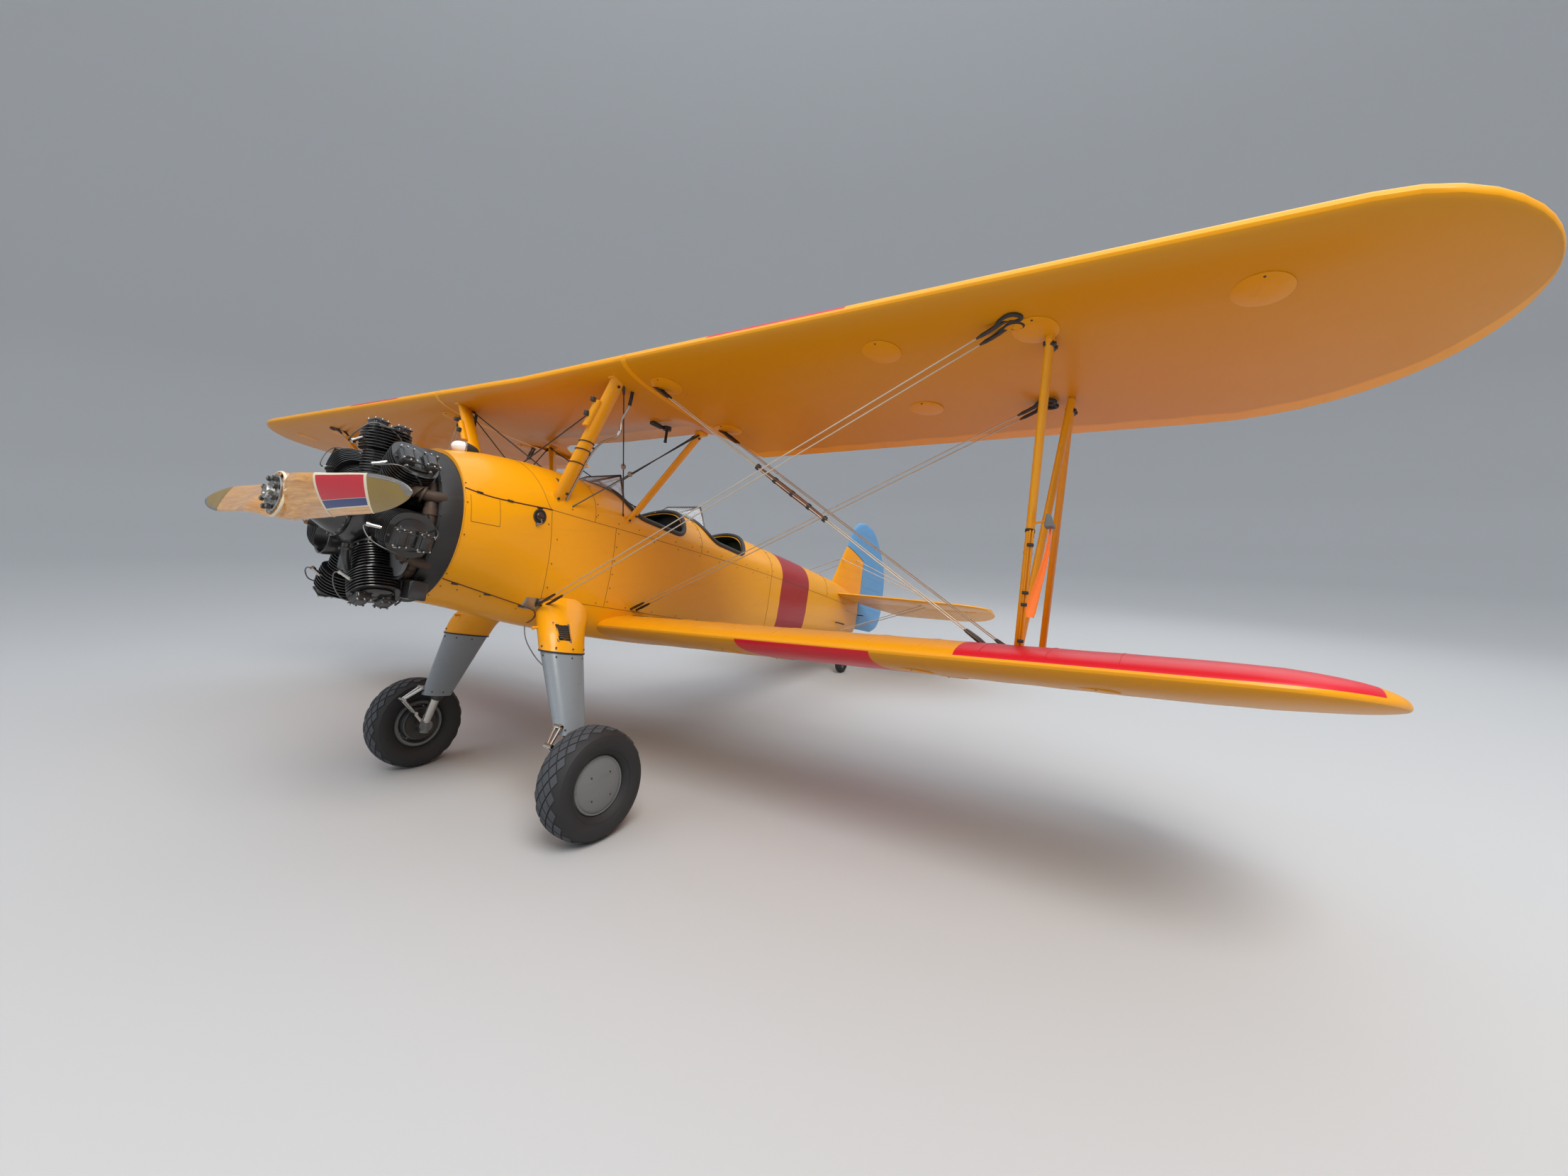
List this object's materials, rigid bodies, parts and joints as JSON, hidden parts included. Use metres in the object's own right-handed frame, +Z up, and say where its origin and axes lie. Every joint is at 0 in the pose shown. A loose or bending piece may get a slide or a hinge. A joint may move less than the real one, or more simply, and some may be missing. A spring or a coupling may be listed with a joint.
{
  "type": "two-seat open-cockpit training biplane",
  "caption": "Single-engine open-cockpit biplane with a radial engine, braced equal-chord wings, fixed cantilever main gear and a steerable tail wheel.",
  "frame": {"origin": "on the floor, under the middle of the whole aircraft's box", "axes": "+X forward to the propeller, +Y to the aircraft's left, +Z up; it stands tail-down, so its thrust line rises 11.65 degrees towards +X"},
  "size_m": [7.6292, 9.7994, 2.966],
  "materials": {
    "yellow_paint": "glossy chrome-yellow dope and paint",
    "red_paint": "glossy red dope",
    "rudder_blue": "light blue dope",
    "grey_paint": "satin grey paint",
    "engine_black": "black enamel, oiled",
    "blade_wood": "varnished laminated wood",
    "hub_steel": "machined steel",
    "wire_steel": "streamlined steel wire",
    "seat_leather": "dark brown padding",
    "windshield_glass": "clear",
    "tyre_rubber": "worn black rubber"
  },
  "bodies": {
    "airframe": {"fuselage_front": "yellow_paint", "fuselage_rear": "yellow_paint", "nose_cowl": "yellow_paint", "wing_upper_centre": "yellow_paint", "fin": "yellow_paint", "wing_upper_left": "yellow_paint", "wing_lower_left": "yellow_paint", "cabane_front_left": "yellow_paint", "cabane_rear_left": "yellow_paint", "interplane_struts_left": "yellow_paint", "gear_fairing_left": "yellow_paint", "tailplane_left": "yellow_paint", "wire_flying_front_left": "wire_steel", "wire_flying_rear_left": "wire_steel", "wire_landing_front_left": "wire_steel", "wire_landing_rear_left": "wire_steel", "gear_leg_left": "grey_paint", "wing_upper_right": "yellow_paint", "wing_lower_right": "yellow_paint", "cabane_front_right": "yellow_paint", "cabane_rear_right": "yellow_paint", "interplane_struts_right": "yellow_paint", "gear_fairing_right": "yellow_paint", "tailplane_right": "yellow_paint", "wire_flying_front_right": "wire_steel", "wire_flying_rear_right": "wire_steel", "wire_landing_front_right": "wire_steel", "wire_landing_rear_right": "wire_steel", "gear_leg_right": "grey_paint", "engine": "engine_black", "engine_ring": "engine_black", "seat_front": "seat_leather", "seat_rear": "seat_leather", "windshield_front": "windshield_glass", "windshield_rear": "windshield_glass", "tail_bracket": "grey_paint"},
    "propeller": {"propeller_blades": "blade_wood", "propeller_hub": "hub_steel"},
    "main_wheel_left": {"tyre_left": "tyre_rubber", "wheel_left": "grey_paint"},
    "aileron_left": {"aileron_left": "yellow_paint"},
    "main_wheel_right": {"tyre_right": "tyre_rubber", "wheel_right": "grey_paint"},
    "aileron_right": {"aileron_right": "yellow_paint"},
    "rudder": {"rudder": "rudder_blue"},
    "elevators": {"elevators": "yellow_paint"},
    "tail_fork": {"tail_fork": "grey_paint"},
    "tail_wheel": {"tail_tyre": "tyre_rubber"}
  },
  "joints": [
    {"name": "propeller_spin", "type": "hinge", "parent": "airframe", "child": "propeller", "pos_m": [3.71139, 0, 1.97785], "axis": [0.9794, 0, 0.202], "continuous": true},
    {"name": "main_wheel_left_spin", "type": "hinge", "parent": "airframe", "child": "main_wheel_left", "pos_m": [2.60901, 1.0165, 0.34], "axis": [0, 1, 0], "continuous": true},
    {"name": "main_wheel_right_spin", "type": "hinge", "parent": "airframe", "child": "main_wheel_right", "pos_m": [2.60901, -1.0165, 0.34], "axis": [0, 1, 0], "continuous": true},
    {"name": "aileron_left_hinge", "type": "hinge", "parent": "airframe", "child": "aileron_left", "pos_m": [0.8735, 3.2, 0.98538], "axis": [-0.0069, 0.9994, 0.0333], "range_deg": [-15, 19.5]},
    {"name": "aileron_right_hinge", "type": "hinge", "parent": "airframe", "child": "aileron_right", "pos_m": [0.8735, -3.2, 0.98538], "axis": [0.0069, 0.9994, -0.0333], "range_deg": [-19.5, 15]},
    {"name": "rudder_hinge", "type": "hinge", "parent": "airframe", "child": "rudder", "pos_m": [-2.95149, 0, 1.11414], "axis": [-0.202, 0, 0.9794], "range_deg": [-30, 30]},
    {"name": "elevator_hinge", "type": "hinge", "parent": "airframe", "child": "elevators", "pos_m": [-2.82023, 0, 0.97274], "axis": [0, 1, 0], "range_deg": [-16, 37]},
    {"name": "tail_steer", "type": "hinge", "parent": "airframe", "child": "tail_fork", "pos_m": [-2.47043, 0, 0.36589], "axis": [-0.202, 0, 0.9794], "range_deg": [-30, 30]},
    {"name": "tail_wheel_spin", "type": "hinge", "parent": "tail_fork", "child": "tail_wheel", "pos_m": [-2.50289, 0, 0.12721], "axis": [0, 1, 0], "continuous": true}
  ],
  "couplings": [
    {"joint": "aileron_right_hinge", "follows": "aileron_left_hinge", "ratio": -1},
    {"joint": "tail_steer", "follows": "rudder_hinge", "ratio": 1}
  ]
}
